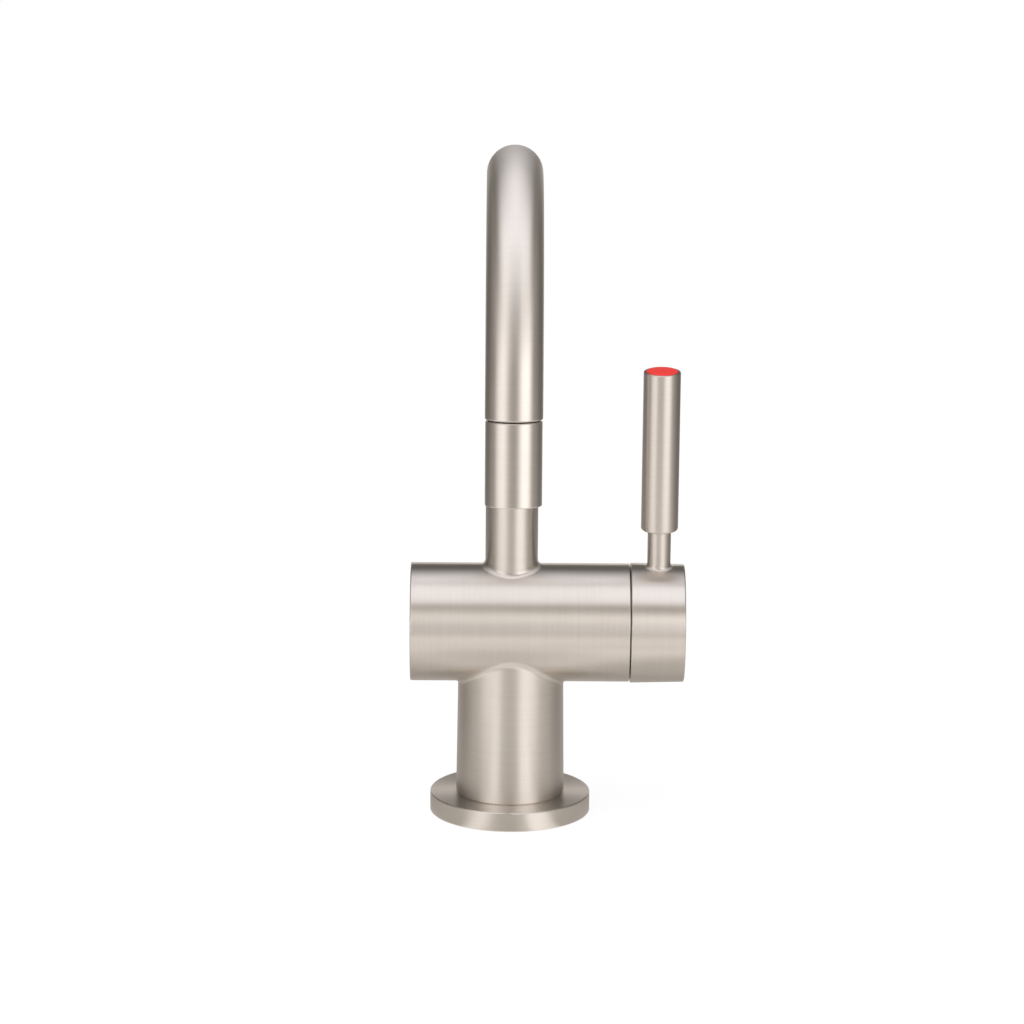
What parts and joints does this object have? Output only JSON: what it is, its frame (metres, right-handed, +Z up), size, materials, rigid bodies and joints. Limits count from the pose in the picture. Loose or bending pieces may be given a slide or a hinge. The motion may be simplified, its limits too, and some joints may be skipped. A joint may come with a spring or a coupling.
{
  "type": "instant hot water faucet",
  "caption": "Deck-mounted hot water faucet: round column, cross barrel, swivelling gooseneck spout and an upright quarter-turn lever with a red cap.",
  "frame": {"origin": "on the deck plane, at the column's axis, in the middle of the mount insert's underside", "axes": "+Z up out of the deck along the column, +X along the barrel towards the lever, -Y towards the user and the spout's end"},
  "size_m": [0.0919, 0.1609, 0.2361],
  "materials": {
    "satin_nickel": "fine brushed satin nickel",
    "brass": "turned brass",
    "copper": "drawn copper tube",
    "black_rubber": "matt moulded rubber",
    "silicone": "soft translucent silicone",
    "ceramic": "lapped ceramic",
    "acetal": "moulded acetal",
    "screw_steel": "plain steel",
    "red_plastic": "glossy red"
  },
  "bodies": {
    "body": {"base_flange": "satin_nickel", "base_gasket": "black_rubber", "mount_insert": "brass", "cold_supply_tube": "copper", "tank_feed_tube": "copper", "hot_return_tube": "copper", "faucet_body": "satin_nickel", "end_plug": "satin_nickel", "end_plug_o_ring": "black_rubber", "valve_housing": "brass", "port_seals": "black_rubber", "fixed_disc": "ceramic", "housing_o_ring": "black_rubber", "bonnet_nut": "brass", "glide_ring": "acetal", "swivel_washer": "acetal", "spout_set_screw": "screw_steel"},
    "lever": {"moving_disc": "ceramic", "spindle": "brass", "spindle_o_ring": "black_rubber", "handle_hub": "satin_nickel", "hub_set_screw": "screw_steel", "lever_grip": "satin_nickel", "index_cap": "red_plastic"},
    "spout": {"spout_tube": "satin_nickel", "swivel_connector": "brass", "swivel_o_rings": "black_rubber", "inner_waterway": "silicone", "nozzle_sleeve": "satin_nickel", "nozzle_o_ring": "black_rubber", "outlet_insert": "acetal"}
  },
  "joints": [
    {"name": "lever_turn", "type": "hinge", "parent": "body", "child": "lever", "pos_m": [0.04935, 0, 0.0655], "axis": [1, 0, 0], "range_deg": [0, 90]},
    {"name": "spout_swivel", "type": "hinge", "parent": "body", "child": "spout", "pos_m": [0, 0, 0.11], "axis": [0, 0, 1], "continuous": true}
  ]
}
